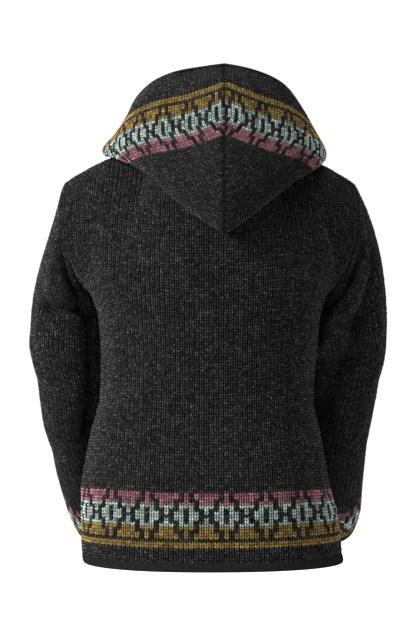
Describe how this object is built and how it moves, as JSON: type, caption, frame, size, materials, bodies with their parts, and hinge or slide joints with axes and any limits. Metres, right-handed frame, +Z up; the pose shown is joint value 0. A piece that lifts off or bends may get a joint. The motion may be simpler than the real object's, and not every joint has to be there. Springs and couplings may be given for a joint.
{
  "type": "hooded knit sweater",
  "caption": "Chunky wool pullover, filled out as worn, hood down at the back, with bands of coloured knit pattern at hood edge, cuffs and hem.",
  "frame": {"origin": "on the axis through the neck opening, level with the slope of the shoulders, where the wearer's shoulders hold the garment", "axes": "+Z up, +Y towards the back of the garment, +X towards the wearer's left"},
  "size_m": [0.6023, 0.4648, 0.8212],
  "materials": {
    "wool_knit": "thick heather wool in stocking stitch, matt and fuzzy, with bands of rose, grey-green and ochre",
    "jersey_binding": "fine black jersey, matt with a faint sheen"
  },
  "bodies": {
    "root": {"back_panel": "wool_knit", "front_panel": "wool_knit", "sleeve_left": "wool_knit", "sleeve_right": "wool_knit", "hood_left": "wool_knit", "hood_right": "wool_knit", "hood_binding": "jersey_binding", "hem_binding_back": "jersey_binding", "hem_binding_front": "jersey_binding", "cuff_binding_left": "jersey_binding", "cuff_binding_right": "jersey_binding"}
  },
  "joints": []
}
